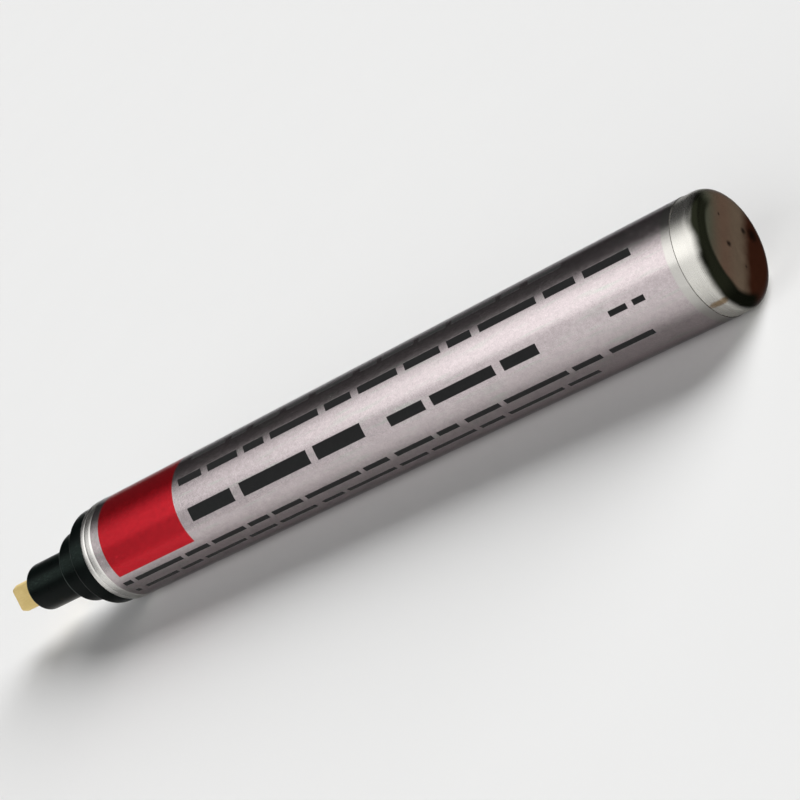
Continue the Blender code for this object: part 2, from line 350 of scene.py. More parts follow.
@dataclass(frozen=True)
class BareAluminium(Finish):
    """Bright drawn aluminium with fine turning lines. The rim is painted lighter, and the rear corner and
    base darker, as painted reflection.
    """

    colour: Colour = (0.635, 0.62, 0.578)
    # The rim's metal is painted lighter than the rear band's: painted light for brighter highlights at the
    # front.
    painted_light_rim_colour: Colour = (0.715, 0.70, 0.67)
    rim_edge: Point = (80.0, 60.0)
    base_near_colour: Colour = (0.076, 0.080, 0.057)
    base_colour: Colour = (0.126, 0.080, 0.056)
    base_middle_colour: Colour = (0.132, 0.096, 0.067)
    base_far_colour: Colour = (0.038, 0.0125, 0.0068)
    corner_shade_colour: Colour = (0.0145, 0.016, 0.0095)
    lower_corner_shade_colour: Colour = (0.0045, 0.0050, 0.0030)
    speck_colour: Colour = (0.006, 0.004, 0.003)
    stain_colour: Colour = (0.26, 0.155, 0.05)
    edge_tint: Colour = (0.5, 0.5, 0.5)
    roughness: float = 0.27
    line_depth: float = 0.000006
    # The corner's painted dark reflection ends here along the pen, and reaches further within these windows
    # of angles
    corner_edge: Point = (0.76, 1.05)
    reaches: tuple[tuple[Triple, float], ...] = (
        ((32.0, 130.0, 20.0), 0.34),
        ((-98.0, 7.0, 8.0), 0.26),
        ((-98.0, -26.0, 40.0), 0.38),
    )
    # The painted dark reflection is darker on the lower side, and takes the base's tone on the side away from
    # the print
    lower_corner_edge: Point = (-1.2, 3.2)
    ring_edge: Point = (0.8, 3.2)
    # A brown smear on the bare band: place along, angle from the print's middle, half sizes
    stain_place: tuple[float, float, float, float] = (2.2, -42.5, 1.9, 4.0)
    stain_edge: Point = (0.75, 1.3)
    # The flat base ends this far from the axis and this deep, and nearer the axis on two sides, where the
    # painted dark corner spreads in
    base_edge: Point = (6.75, 0.9)
    base_depth: Point = (0.3, 0.1)
    print_side_edge: Point = (7.0, 3.0)
    upper_side_edge: Point = (-1.5, 2.5)
    # Its tones, a painted dark reflection, change at these heights, along borders that lean across it
    near_edge: Point = (4.3, 4.0)
    middle_edge: Point = (0.9, 3.0)
    far_edge: Point = (-2.35, 2.4)
    tone_lean: float = 0.32
    # Specks on the base: y, z and radius. Their edge is in shares of the radius
    specks: tuple[Triple, ...] = ((0.9, 1.0, 0.42), (-3.7, -0.9, 0.45), (-4.6, -2.6, 0.95), (-2.0, 3.9, 0.20),
                                  (1.5, -2.8, 0.18))
    speck_edge: Point = (0.9, 1.5)

    def shade(self, graph: Graph) -> None:
        """Writes the finish into an empty node tree.

        Args:
            graph: The tree.
        """
        here = graph.place()
        x, y, z = graph.parts(here)
        angle = print_angle(y, z)
        rings = graph.grain(here, scale=1.6, detail=3.0, stretch=(9.0, 0.25, 0.25))
        patches = graph.grain(here, scale=0.7, detail=3.0)
        spots = graph.grain(here, scale=2.6, detail=4.0, roughness=0.7)
        # Painted light: the metal lightens towards the rim.
        metal = graph.blend(x.rise(*self.rim_edge), self.colour, self.painted_light_rim_colour)
        metal = graph.tinted(metal, 1 + rings * 0.10 + patches * 0.08)
        metal = graph.blend(self._stain(x, angle, spots) * 0.8, metal, self.stain_colour)
        # Painted reflection: the base's dark tones stand in for the dark surroundings that it mirrors.
        base = self._base(graph, y, z, spots, patches)
        # Painted dark reflection round the rear corner, reaching further along the pen at some angles.
        reach: Value = 0.0
        for window, further in self.reaches:
            reach = angle.window(*window) * further + reach
        painted_dark_corner = 1 - (x - reach + patches * 0.25).rise(*self.corner_edge)
        # The corner's painted shade is darker on the lower side and takes the base's tone away from the
        # print.
        ring = graph.blend(z.rise(*self.lower_corner_edge), self.lower_corner_shade_colour, self.corner_shade_colour)
        ring = graph.blend((y + z * 0.5).rise(*self.ring_edge), base, ring)
        flat = y.distance(z) + (y + z).rise(*self.print_side_edge) * 0.4 + z.rise(*self.upper_side_edge) * 0.6
        flat = (1 - flat.rise(*self.base_edge)) * (1 - x.rise(*self.base_depth))
        graph.surface(
            Base_Color=graph.blend(flat, graph.blend(painted_dark_corner, metal, ring), base),
            Metallic=1.0,
            Roughness=self.roughness + rings * 0.10 - flat * 0.10 + spots * 0.05,
            Specular_Tint=self.edge_tint,
            Normal=graph.bump(rings * 0.6 + spots * 0.15 + 0.5, self.line_depth),
        )

    def _base(self, graph: Graph, y: Signal, z: Signal, spots: Signal, patches: Signal) -> Signal:
        """Colour of the base, painted dark in bands of tone as painted reflection.

        Args:
            graph: The tree.
            y: Place along Y.
            z: Place along Z.
            spots: Fine noise.
            patches: Broad noise.

        Returns:
            The colour, with the few dark specks.
        """
        # Painted reflection: bands of dark tone across the base.
        across = z + y * self.tone_lean + patches * 0.9
        base = graph.blend(across.rise(*self.near_edge), self.base_colour, self.base_near_colour)
        base = graph.blend(1 - across.rise(*self.middle_edge), base, self.base_middle_colour)
        base = graph.blend(1 - across.rise(*self.far_edge), base, self.base_far_colour)
        base = graph.tinted(base, 1 + spots * 0.35 + patches * 0.3)
        mask: Value = 0.0
        for speck_y, speck_z, radius in self.specks:
            near = (y - speck_y).distance(z - speck_z) + spots * radius * 1.4
            mask = (1 - near.rise(*(radius * share for share in self.speck_edge))).or_more(mask)
        return graph.blend(mask * 0.92, base, self.speck_colour)

    def _stain(self, x: Signal, angle: Signal, spots: Signal) -> Signal:
        """Mask of the smear.

        Args:
            x: Place along the pen.
            angle: Angle from the print's middle.
            spots: Noise that makes its edge ragged.

        Returns:
            1 on the smear and 0 elsewhere.
        """
        stain_x, stain_angle, stain_length, stain_width = self.stain_place
        along, across = (x - stain_x) / stain_length, (angle - stain_angle) / stain_width
        return 1 - (along * along + across * across + spots * 1.4).rise(*self.stain_edge)


@dataclass(frozen=True)
class DashRow:
    """A row of plain dashes printed along the film.

    Args:
        centre: Angle of the row from the print's middle, in degrees, upwards positive.
        height: Height of a dash as an angle in degrees.
        start: Rear end of the row, in millimetres from the rear face.
        stop: Front end of the row.
        lengths: Lengths in millimetres that the dashes take in turn.
        gap: Gap between dashes in millimetres.
        lean: Lean of the dashes' ends, in millimetres per degree.
    """

    centre: float
    height: float
    start: float
    stop: float
    lengths: tuple[float, ...]
    gap: float
    lean: float = 0.0

    def stops(self, span: float) -> list[Point]:
        """Ramp stops of the row.

        Args:
            span: Length that the ramp covers, in millimetres.

        Returns:
            Where each dash and each gap starts, as a share of the span, with 1 or 0.
        """
        marks: list[Point] = [(0.0, 0.0)]
        at, turn = self.start, 0
        while at < self.stop - self.gap:
            end = min(at + self.lengths[turn % len(self.lengths)], self.stop)
            marks += [(at / span, 1.0), (end / span, 0.0)]
            at, turn = end + self.gap, turn + 1
        return marks

    def mask(self, graph: Graph, x: Signal, angle: Signal, span: float) -> Signal:
        """Mask of the dashes.

        Args:
            graph: The tree.
            x: Place along the pen.
            angle: Angle from the print's middle.
            span: Length that the ramp covers.

        Returns:
            1 on the dashes and 0 elsewhere.
        """
        offset = angle - self.centre
        along = (x - offset * self.lean) / span
        dashes = graph.node("ShaderNodeValToRGB", {"stops": self.stops(span)}, {0: along})
        return dashes * offset.window(-self.height / 2, self.height / 2, soft=0.5)


@dataclass(frozen=True)
class PrintedFilm(Finish):
    """Glossy film printed with a warm silver ground, a red panel and rows of plain dark dashes."""

    silver: Colour = (0.510, 0.447, 0.455)
    cool_silver: Colour = (0.435, 0.450, 0.415)
    cool_edge: Point = (0.16, 0.34)
    clear: Colour = (0.52, 0.505, 0.475)
    red: Colour = (0.53, 0.014, 0.024)
    ink: Colour = (0.006, 0.008, 0.008)
    edge_tint: Colour = (0.12, 0.12, 0.13)
    roughness: float = 0.24
    dust_edge: Point = (0.25, 0.06)
    # Places along the film: its end face, painted dark as shade, the start of the print and the red panel
    film_edge: Point = (3.812, 0.01)
    print_edge: Point = (5.2, 0.35)
    panel_places: Triple = (101.1, 119.4, 0.09)
    # Angles of the red panel from the print's middle, in degrees
    panel_angles: Triple = (-27.0, 84.0, 0.6)
    # Length along the pen that the rows are laid out on
    span: float = 125.0
    rows: tuple[DashRow, ...] = (
        DashRow(66.0, 7.0, 22.0, 99.0, (6.0, 3.5, 8.0, 5.0), 1.3, 0.05),
        DashRow(38.0, 9.0, 10.0, 99.5, (8.0, 5.0, 10.5, 4.0, 7.0), 1.5, 0.05),
        DashRow(0.0, 15.0, 61.0, 98.5, (9.5, 14.5, 10.0), 1.7),
        DashRow(-4.5, 10.5, 28.0, 56.0, (6.5, 11.5, 7.0), 1.5),
        DashRow(-5.5, 5.5, 10.0, 16.0, (2.2, 3.4), 0.9),
        DashRow(-38.5, 6.0, 12.0, 120.0, (7.5, 5.0, 11.0, 6.5, 4.0), 1.1),
        DashRow(-55.5, 5.5, 23.0, 120.0, (5.5, 9.5, 4.5, 8.0), 1.1),
    )

    def shade(self, graph: Graph) -> None:
        """Writes the finish into an empty node tree.

        Args:
            graph: The tree.
        """
        here = graph.place()
        x, y, z = graph.parts(here)
        angle = print_angle(y, z)
        mottle = graph.grain(here, scale=1.5, detail=5.0, roughness=0.72, stretch=(0.7, 1.0, 1.0))
        fine = graph.grain(here, scale=4.2, detail=3.0, roughness=0.7)
        streaks = graph.grain(here, scale=1.2, stretch=(0.12, 1.4, 1.4))
        dust = graph.grain(here, scale=3.4, detail=5.0, roughness=0.8).rise(*self.dust_edge)
        ground = graph.blend(streaks.rise(*self.cool_edge) * 0.8, self.silver, self.cool_silver)
        ground = graph.tinted(ground, 1 + mottle * 0.60 + fine * 0.50 + streaks * 0.10)
        printed = x.rise(*self.print_edge)
        colour = graph.blend(printed, graph.tinted(self.clear, 1 + mottle * 0.05), ground)
        panel = angle.window(*self.panel_angles) * x.window(*self.panel_places)
        colour = graph.blend(panel, colour, graph.tinted(self.red, 1 + mottle * 0.40 + fine * 0.35))
        dashes: Value = 0.0
        for row in self.rows:
            dashes = row.mask(graph, x, angle, self.span) + dashes
        colour = graph.blend(dashes * 0.97, colour, self.ink)
        # Painted shade: the film's end face is darkened where it meets the can.
        painted_shade_end_face = 1 - x.rise(*self.film_edge)
        graph.surface(
            Base_Color=graph.blend(painted_shade_end_face * 0.55 + dust * 0.5, colour, self.ink),
            Metallic=1 - dashes - panel * 0.18,
            Roughness=self.roughness + mottle * 0.16 + dashes * 0.2 - (1 - printed) * 0.05,
            Specular_Tint=self.edge_tint,
            Specular_IOR_Level=0.1,
            Coat_Weight=(1 - dashes * 0.97 - panel * 0.5) * 0.35,
            Coat_Roughness=0.07,
            Normal=graph.bump(mottle + fine * 0.6 + 0.5, depth=0.00001),
        )


@dataclass(frozen=True)
class BlackMoulding(Finish):
    """Very dark green-black semi-gloss plastic with light handling scuffs, and painted highlights along the
    printed side and the neck's front edge.
    """

    colour: Colour = (0.0005, 0.0020, 0.0016)
    scuff_and_highlight_colour: Colour = (0.033, 0.050, 0.043)
    scuff_edge: Point = (0.24, 0.22)
    roughness: float = 0.30
    # Painted highlights, speckled like the scuffs: a band along the printed side, and the neck's front edge
    # outside a radius
    highlight_band_angles: Triple = (7.0, 30.0, 16.0)
    edge_highlight_places: Triple = (132.55, 133.35, 0.35)
    edge_highlight_radius: Point = (5.1, 0.5)

    def shade(self, graph: Graph) -> None:
        """Writes the finish into an empty node tree.

        Args:
            graph: The tree.
        """
        here = graph.place()
        x, y, z = graph.parts(here)
        fine = graph.grain(here, scale=5.5, detail=4.0, roughness=0.65)
        broad = graph.grain(here, scale=0.5)
        speckle = graph.grain(here, scale=2.4, detail=5.0, roughness=0.78, stretch=(0.6, 1.6, 1.6))
        # Painted highlight: a lighter, speckled band along the printed side, which also gathers more scuffs.
        worn = print_angle(y, z).window(*self.highlight_band_angles)
        scuffs = (speckle + worn * 0.12).rise(*self.scuff_edge)
        # Painted highlight along the neck's front edge.
        edge = x.window(*self.edge_highlight_places) * y.distance(z).rise(*self.edge_highlight_radius)
        scuffs_and_highlights = (scuffs * 0.5 + worn * (0.34 + speckle)).or_more(edge * (fine + 0.45))
        colour = graph.tinted(self.colour, 1 + broad * 0.8)
        graph.surface(
            Base_Color=graph.blend(scuffs_and_highlights, colour, self.scuff_and_highlight_colour),
            Roughness=self.roughness + fine * 0.10 + broad * 0.12 + scuffs_and_highlights * 0.2,
            Specular_IOR_Level=0.05,
            Normal=graph.bump(fine + 0.5, depth=0.00001),
        )


@dataclass(frozen=True)
class NibFibre(Finish):
    """Bonded cream fibre: fine strands along the nib, a little darker where it has been wet."""

    colour: Colour = (0.80, 0.62, 0.26)
    strand_colour: Colour = (0.62, 0.42, 0.12)
    roughness: float = 0.88
    strand_depth: float = 0.00004

    def shade(self, graph: Graph) -> None:
        """Writes the finish into an empty node tree.

        Args:
            graph: The tree.
        """
        here = graph.place()
        strands = graph.grain(here, scale=1.7, detail=3.0, roughness=0.6, stretch=(0.45, 6.0, 6.0))
        pores = graph.grain(here, scale=4.5, detail=3.0, roughness=0.7)
        wet = graph.grain(here, scale=0.55)
        share = strands * 0.9 + pores * 0.5 + wet * 0.7 + 0.28
        graph.surface(
            Base_Color=graph.blend(share, self.colour, self.strand_colour),
            Roughness=self.roughness + pores * 0.1,
            Specular_IOR_Level=0.25,
            Sheen_Weight=0.2,
            Normal=graph.bump(strands + pores * 0.6 + 0.5, self.strand_depth),
        )


@dataclass(frozen=True)
class SealRubber(Finish):
    """Matt black rubber with a powdery surface."""

    colour: Colour = (0.022, 0.022, 0.023)
    roughness: float = 0.8

    def shade(self, graph: Graph) -> None:
        """Writes the finish into an empty node tree.

        Args:
            graph: The tree.
        """
        powder = graph.grain(graph.place(), scale=6.0, detail=4.0, roughness=0.7)
        graph.surface(
            Base_Color=graph.tinted(self.colour, 1 + powder * 0.6),
            Roughness=self.roughness + powder * 0.15,
            Normal=graph.bump(powder + 0.5, depth=0.00001),
        )


@dataclass(frozen=True)
class NaturalPlastic(Finish):
    """Uncoloured moulding, milky and satin."""

    colour: Colour = (0.74, 0.73, 0.68)
    roughness: float = 0.42

    def shade(self, graph: Graph) -> None:
        """Writes the finish into an empty node tree.

        Args:
            graph: The tree.
        """
        here = graph.place()
        haze = graph.grain(here, scale=0.8)
        fine = graph.grain(here, scale=5.0, detail=3.0)
        graph.surface(
            Base_Color=graph.tinted(self.colour, 1 + haze * 0.12),
            Roughness=self.roughness + fine * 0.12,
            Subsurface_Weight=0.15,
            Subsurface_Scale=0.001,
            Normal=graph.bump(fine + 0.5, depth=0.000008),
        )


@dataclass(frozen=True)
class SpringSteel(Finish):
    """Drawn stainless wire with fine die lines."""

    colour: Colour = (0.56, 0.55, 0.53)
    roughness: float = 0.24

    def shade(self, graph: Graph) -> None:
        """Writes the finish into an empty node tree.

        Args:
            graph: The tree.
        """
        lines = graph.grain(graph.place(), scale=7.0, detail=3.0)
        graph.surface(
            Base_Color=graph.tinted(self.colour, 1 + lines * 0.15),
            Metallic=1.0,
            Roughness=self.roughness + lines * 0.12,
            Normal=graph.bump(lines + 0.5, depth=0.000005),
        )


@dataclass(frozen=True)
class PaleFloor(Finish):
    """Plain pale studio floor with a barely visible grain."""

    colour: Colour = (0.81, 0.81, 0.805)

    def shade(self, graph: Graph) -> None:
        """Writes the finish into an empty node tree.

        Args:
            graph: The tree.
        """
        grain = graph.grain(graph.place(), scale=0.05, detail=3.0)
        graph.surface(
            Base_Color=graph.tinted(self.colour, 1 + grain * 0.015),
            Roughness=0.9,
            Specular_IOR_Level=0.1,
        )


def shaped(name: str, bm: bmesh.types.BMesh, finish: Finish, sharp: float = 32.0) -> bpy.types.Object:
    """Turns a bmesh into a smooth-shaded object with a finish.

    Args:
        name: The piece's name.
        bm: The mesh, which is freed.
        finish: What it is dressed in.
        sharp: Edges that bend more than this many degrees stay sharp.

    Returns:
        The object, linked into the scene.
    """
    bmesh.ops.recalc_face_normals(bm, faces=bm.faces)
    mesh = bpy.data.meshes.new(name)
    bm.to_mesh(mesh)
    bm.free()
    mesh.shade_smooth()
    mesh.set_sharp_from_angle(angle=math.radians(sharp))
    mesh.materials.append(finish.material())
    piece = bpy.data.objects.new(name, mesh)
    bpy.context.scene.collection.objects.link(piece)
    return piece


def settled(piece: bpy.types.Object, body: Body, node: str) -> bpy.types.Object:
    """Makes a piece ride on its body in place of a node of the frame.

    Args:
        piece: The piece.
        body: What it rides on.
        node: The node that it stands for.

    Returns:
        The piece.
    """
    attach(piece, body.value)
    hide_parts(node)
    return piece


def arc(x: float, r: float, radius: float, start: float, stop: float, steps: int = 12) -> list[Point]:
    """Points of an arc about (x, r), from start to stop degrees, where 0 looks along +X."""
    turns = [math.radians(start + (stop - start) * step / steps) for step in range(steps + 1)]
    return [(x + radius * math.cos(turn), r + radius * math.sin(turn)) for turn in turns]


def crowned(x: float, end: float, r: float, rise: float, power: float = 4.0, steps: int = 14) -> list[Point]:
    """Points of a band from x to end that swells by rise in its middle."""
    shares = [step / steps for step in range(steps + 1)]
    return [(x + (end - x) * s, r + rise * (1 - abs(2 * s - 1) ** power)) for s in shares]


def even_turns(sides: int) -> list[float]:
    """Turns of the sides of a round piece, in radians."""
    return [math.tau * side / sides for side in range(sides)]


def skinned(bm: bmesh.types.BMesh, rings: Sequence[Sequence[bmesh.types.BMVert]], closed: bool) -> None:
    """Joins each ring of vertices to the next with faces.

    Args:
        bm: The mesh.
        rings: Rings with as many vertices each, or a single one at a tip.
        closed: Whether the last ring is joined to the first.
    """
    pairs = list(zip(rings, rings[1:]))
    if closed:
        pairs.append((rings[-1], rings[0]))
    for near, far in pairs:
        for side in range(max(len(near), len(far))):
            after = side + 1
            corners = [near[side % len(near)], near[after % len(near)]]
            corners += [far[after % len(far)], far[side % len(far)]]
            bm.faces.new(list(dict.fromkeys(corners)))


def turned(
    name: str,
    outline: Sequence[Point],
    finish: Finish,
    ring: bool = True,
    turns: Sequence[float] | None = None,
    swell: Callable[[float, float], float] | None = None,
    sides: int = 144,
) -> bpy.types.Object:
    """Turns an outline of (x, radius) points about the pen's axis.

    Args:
        name: The piece's name.
        outline: Points of the outline. A radius of 0 makes a tip.
        finish: What it is dressed in.
        ring: Whether the last point is joined to the first.
        turns: Where round the pen the outline stands, if not evenly.
        swell: Adds to the radius of a point, given that radius and the turn.
        sides: How many sides, if turns aren't given.

    Returns:
        The piece.
    """
    bm = bmesh.new()
    stations = list(turns or even_turns(sides))
    rings = []
    for x, r in outline:
        if r == 0:
            rings.append([bm.verts.new((x, 0.0, 0.0))])
            continue
        ring_verts = []
        for turn in stations:
            grown = r + (swell(r, turn) if swell else 0.0)
            ring_verts.append(bm.verts.new((x, grown * math.sin(turn), grown * math.cos(turn))))
        rings.append(ring_verts)
    skinned(bm, rings, ring)
    return shaped(name, bm, finish)


def print_axes() -> tuple[Vector, Vector]:
    """Unit vectors across the pen: along the nib's width, and out of the printed side."""
    along_width = Vector((0.0, -math.cos(PRINT_TURN), math.sin(PRINT_TURN)))
    return along_width, Vector((0.0, math.sin(PRINT_TURN), math.cos(PRINT_TURN)))


def slot_reach(direction: float, half_width: float, half_height: float, corner: float) -> float:
    """Distance from the middle of a round-cornered rectangle to its edge.

    Args:
        direction: Angle from the width's axis, in radians.
        half_width: Half the width.
        half_height: Half the height.
        corner: Corner radius.

    Returns:
        The distance.
    """
    least = 1e-9
    c, s = abs(math.cos(direction)), abs(math.sin(direction))
    straight = min(half_width / max(c, least), half_height / max(s, least))
    a, b = half_width - corner, half_height - corner
    if straight * c <= a or straight * s <= b:
        return straight
    along = c * a + s * b
    return along + math.sqrt(max(along * along - (a * a + b * b - corner * corner), 0.0))


class Assembly(ABC):
    """A group of pieces that are built and finished together."""

    @abstractmethod
    def build(self) -> list[bpy.types.Object]:
        """Makes the pieces and sets them on their bodies."""


@dataclass
class BarrelCan(Assembly):
    """Deep-drawn aluminium can with a rounded rear corner and a mouth that is rolled in.

    The crimp line splits the rim into two bands, and each swells by rim_crown in its middle.
    """

    wall: float = 0.0004
    base: float = 0.0008
    corner: float = 0.0020
    inner_corner: float = 0.0012
    face_rings: Point = (0.003, 0.0055)
    body_radius: float = 0.00842
    body_rings: int = 60
    rim_start: float = 0.12150
    rim_radius: float = 0.00852
    rim_crown: float = 0.00003
    # The rim starts with a short slope that ends a little under its full radius
    slope_length: float = 0.00010
    slope_short: float = 0.00002
    slope_flat: float = 0.00008
    crimp: float = 0.12295
    crimp_half: float = 0.00010
    crimp_depth: float = 0.00005
    crimp_floor_share: float = 0.4
    # The front band is this much slimmer than the rear one
    front_less: float = 0.00001
    roll: float = 0.00024
    lip_reach: float = 0.00047
    lip_length: float = 0.00040
    lip_chamfer: float = 0.00012

    def build(self) -> list[bpy.types.Object]:
        """Makes the can.

        Returns:
            The can alone.
        """
        outline: list[Point] = [(0.0, 0.0), *((0.0, r) for r in self.face_rings)]
        outline += arc(self.corner, self.body_radius - self.corner, self.corner, 180, 90, 18)
        reach = self.rim_start - self.corner
        outline += [(self.corner + reach * step / self.body_rings, self.body_radius)
                    for step in range(1, self.body_rings)]
        outline += self._rim(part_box("barrel")[1].x)
        can = turned("barrel_can", outline, BareAluminium(), ring=False)
        return [settled(can, Body.PEN, "barrel")]

    def _rim(self, front: float) -> list[Point]:
        """Outline of the rim, the lip and the inside.

        Args:
            front: Where the rim ends along the pen.

        Returns:
            Its points, from the rim's rear edge to the middle of the base's inside.
        """
        bore = self.body_radius - self.wall
        lip = bore - self.lip_reach
        floor_half = self.crimp_half * self.crimp_floor_share
        floor_radius = self.rim_radius - self.crimp_depth
        front_radius = self.rim_radius - self.front_less
        outline = [(self.rim_start - self.slope_length, self.body_radius),
                   (self.rim_start, self.rim_radius - self.slope_short)]
        outline += crowned(self.rim_start + self.slope_flat, self.crimp - self.crimp_half,
                           self.rim_radius, self.rim_crown)
        outline += [(self.crimp - floor_half, floor_radius), (self.crimp + floor_half, floor_radius)]
        outline += crowned(self.crimp + self.crimp_half, front - self.roll, front_radius, self.rim_crown)
        outline += arc(front - self.roll, front_radius - self.roll, self.roll, 84, 0, 10)
        outline += [(front, lip + self.lip_chamfer), (front - self.lip_chamfer, lip)]
        outline += [(front - self.lip_length, lip), (front - self.lip_length, bore)]
        outline += [(self.base + self.inner_corner, bore)]
        outline += arc(self.base + self.inner_corner, bore - self.inner_corner, self.inner_corner, 90, 180, 6)
        return outline + [(self.base, 0.0)]


@dataclass
class LabelWrap(Assembly):
    """Printed film wound round the barrel, whose edge laps over itself on the back."""

    inner: float = 0.00844
    outer: float = 0.00850
    lap_turn: float = math.radians(-125)
    lap_width: float = math.radians(22)
    lap_rise: float = 0.000032
    # The lap's edge is steep: one of this many parts of its width
    lap_parts: int = 60
    sides: int = 160
    rings: int = 44

    def build(self) -> list[bpy.types.Object]:
        """Makes the film.

        Returns:
            The film alone.
        """
        low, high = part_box("label_film")
        outline = [(low.x, self.inner)]
        outline += [(low.x + (high.x - low.x) * step / self.rings, self.outer)
                    for step in range(self.rings + 1)]
        outline += [(high.x, self.inner)]
        lap_edges = [(self.lap_turn + lean) % math.tau for lean in (0.0, self.lap_width / self.lap_parts)]
        turns = sorted(even_turns(self.sides) + lap_edges)
        film = turned("label_wrap", outline, PrintedFilm(), turns=turns, swell=self._lap)
        return [settled(film, Body.PEN, "label_film")]

    def _lap(self, r: float, turn: float) -> float:
        """How much the lap lifts the film's outside.

        Args:
            r: Radius of the point, inside or outside.
            turn: Turn of the point.

        Returns:
            The rise, which is highest just past the lap's edge and fades across its width.
        """
        past = (turn - self.lap_turn) % math.tau
        if r < (self.inner + self.outer) / 2 or past > self.lap_width:
            return 0.0
        steep = min(1.0, past / (self.lap_width / self.lap_parts))
        return self.lap_rise * steep * (1 - (past / self.lap_width) ** 3)


@dataclass
class Head(Assembly):
    """Black front: stepped collar, sleeve and the flat fibre nib."""

    # Chamfer of the plug's ends and the sleeve's rear end
    chamfer: float = 0.0003
    plug_start: float = 0.1151
    plug_radius: float = 0.00787
    groove_start: float = 0.11954
    groove_end: float = 0.12056
    groove_radius: float = 0.00700
    pocket: Point = (0.00577, 0.00641)
    pocket_end: float = 0.1214
    chamber_radius: float = 0.00488
    chamber_end: float = 0.12335
    passage_radius: float = 0.00313
    crimp_radius: float = 0.00745
    crimp_start: float = 0.1236
    flange_start: float = 0.1242
    flange_end: float = 0.1276
    flange_radius: float = 0.00818
    flange_round: float = 0.00050
    flange_rear_round: float = 0.00025
    neck_end: float = 0.1332
    neck_radius: float = 0.00612
    neck_round: float = 0.00080
    socket_start: float = 0.1275
    socket_radius: float = 0.00420
    # Slope at the neck's foot and at its mouth
    lead: float = 0.00012
    sleeve_radius: float = 0.00412
    sleeve_start: float = 0.12755
    sleeve_end: float = 0.14475
    sleeve_round: float = 0.00080
    sleeve_sides: int = 160
    slot_clearance: float = 0.00015
    slot_lead: float = 0.00018
    nib_width: float = 0.00490
    nib_height: float = 0.00340
    nib_start: float = 0.1265
    nib_end: float = 0.15075
    nib_round: float = 0.00070
    nib_chamfer: float = 0.00025
    nib_rings: int = 60
    nib_sides: int = 120
    tip_length: float = 0.0010
    tip_side: float = 0.00040
    tip_face: float = 0.00020
    tip_rings: int = 6
    # The corners get this share sharper towards the tip
    tip_sharper: float = 0.3
    # The fibre's surface wanders inwards by a share of its distance from the axis, in waves this fine
    wander: float = 0.018
    wander_along: float = 260
    wander_across: float = 900

    def build(self) -> list[bpy.types.Object]:
        """Makes the three pieces."""
        return [
            settled(self._collar(), Body.PEN, "front_collar"),
            settled(self._sleeve(), Body.PEN, "nib_sleeve"),
            settled(self._nib(), Body.NIB, "nib"),
        ]

    def _collar(self) -> bpy.types.Object:
        """Turns the collar, plug end to neck, with its bore.

        Returns:
            The collar.
        """
        outline: list[Point] = [(self.plug_start, self.chamber_radius), (self.plug_start, self.pocket[0])]
        outline += [(self.pocket_end, radius) for radius in self.pocket]
        outline += [(self.plug_start, self.pocket[1]), (self.plug_start, self.plug_radius - self.chamfer)]
        outline += [(self.plug_start + self.chamfer, self.plug_radius), (self.groove_start, self.plug_radius)]
        outline += [(self.groove_start, self.groove_radius), (self.groove_end, self.groove_radius)]
        outline += [(self.groove_end, self.plug_radius), (self.crimp_start - self.chamfer, self.plug_radius)]
        outline += [(self.crimp_start, self.crimp_radius), (self.flange_start, self.crimp_radius)]
        rear_round = self.flange_rear_round
        outline += arc(self.flange_start + rear_round, self.flange_radius - rear_round,
                       rear_round, 180, 90, 5)
        outline += arc(self.flange_end - self.flange_round, self.flange_radius - self.flange_round,
                       self.flange_round, 90, 6, 14)
        outline += [(self.flange_end, self.neck_radius + self.lead),
                    (self.flange_end + self.lead, self.neck_radius)]
        outline += arc(self.neck_end - self.neck_round, self.neck_radius - self.neck_round,
                       self.neck_round, 90, 0, 18)
        outline += [(self.neck_end, self.socket_radius + self.lead),
                    (self.neck_end - self.lead, self.socket_radius)]
        outline += [(self.socket_start, self.socket_radius), (self.socket_start, self.passage_radius)]
        outline += [(self.chamber_end, self.passage_radius), (self.chamber_end, self.chamber_radius)]
        return turned("collar_moulding", outline, BlackMoulding())

    def _sleeve(self) -> bpy.types.Object:
        """Lofts the sleeve, a round tube with a flat slot for the nib.

        Returns:
            The sleeve.
        """
        length = self.sleeve_end - self.sleeve_start
        sides = even_turns(self.sleeve_sides)
        bm = bmesh.new()
        outside: list[Point] = [(self.sleeve_start, self.sleeve_radius - self.chamfer),
                                (self.sleeve_start + self.chamfer, self.sleeve_radius)]
        outside += [(self.sleeve_start + length * share, self.sleeve_radius) for share in (0.25, 0.5, 0.75)]
        outside += arc(self.sleeve_end - self.sleeve_round, self.sleeve_radius - self.sleeve_round,
                       self.sleeve_round, 90, 0, 14)
        rings = [[bm.verts.new((x, r * math.sin(t), r * math.cos(t))) for t in sides] for x, r in outside]
        inside = [(self.sleeve_end, self.slot_lead), (self.sleeve_end - self.slot_lead, 0.0)]
        inside += [(self.sleeve_end - length * share, 0.0) for share in (0.3, 0.6)]
        inside += [(self.sleeve_start, 0.0)]
        for x, grow in inside:
            rings.append([bm.verts.new(self._slot_point(x, t, self.slot_clearance + grow)) for t in sides])
        skinned(bm, rings, True)
        return shaped("sleeve_tube", bm, BlackMoulding())

    def _slot_point(self, x: float, turn: float, clearance: float) -> Vector:
        """Point of the slot's wall.

        Args:
            x: Place along the pen.
            turn: Turn that the point lies straight in from.
            clearance: Gap to the nib.

        Returns:
            The point.
        """
        direction = turn - PRINT_TURN
        reach = slot_reach(math.pi / 2 - direction, self.nib_width / 2 + clearance,
                           self.nib_height / 2 + clearance, self.nib_round + clearance)
        return Vector((x, reach * math.sin(turn), reach * math.cos(turn)))

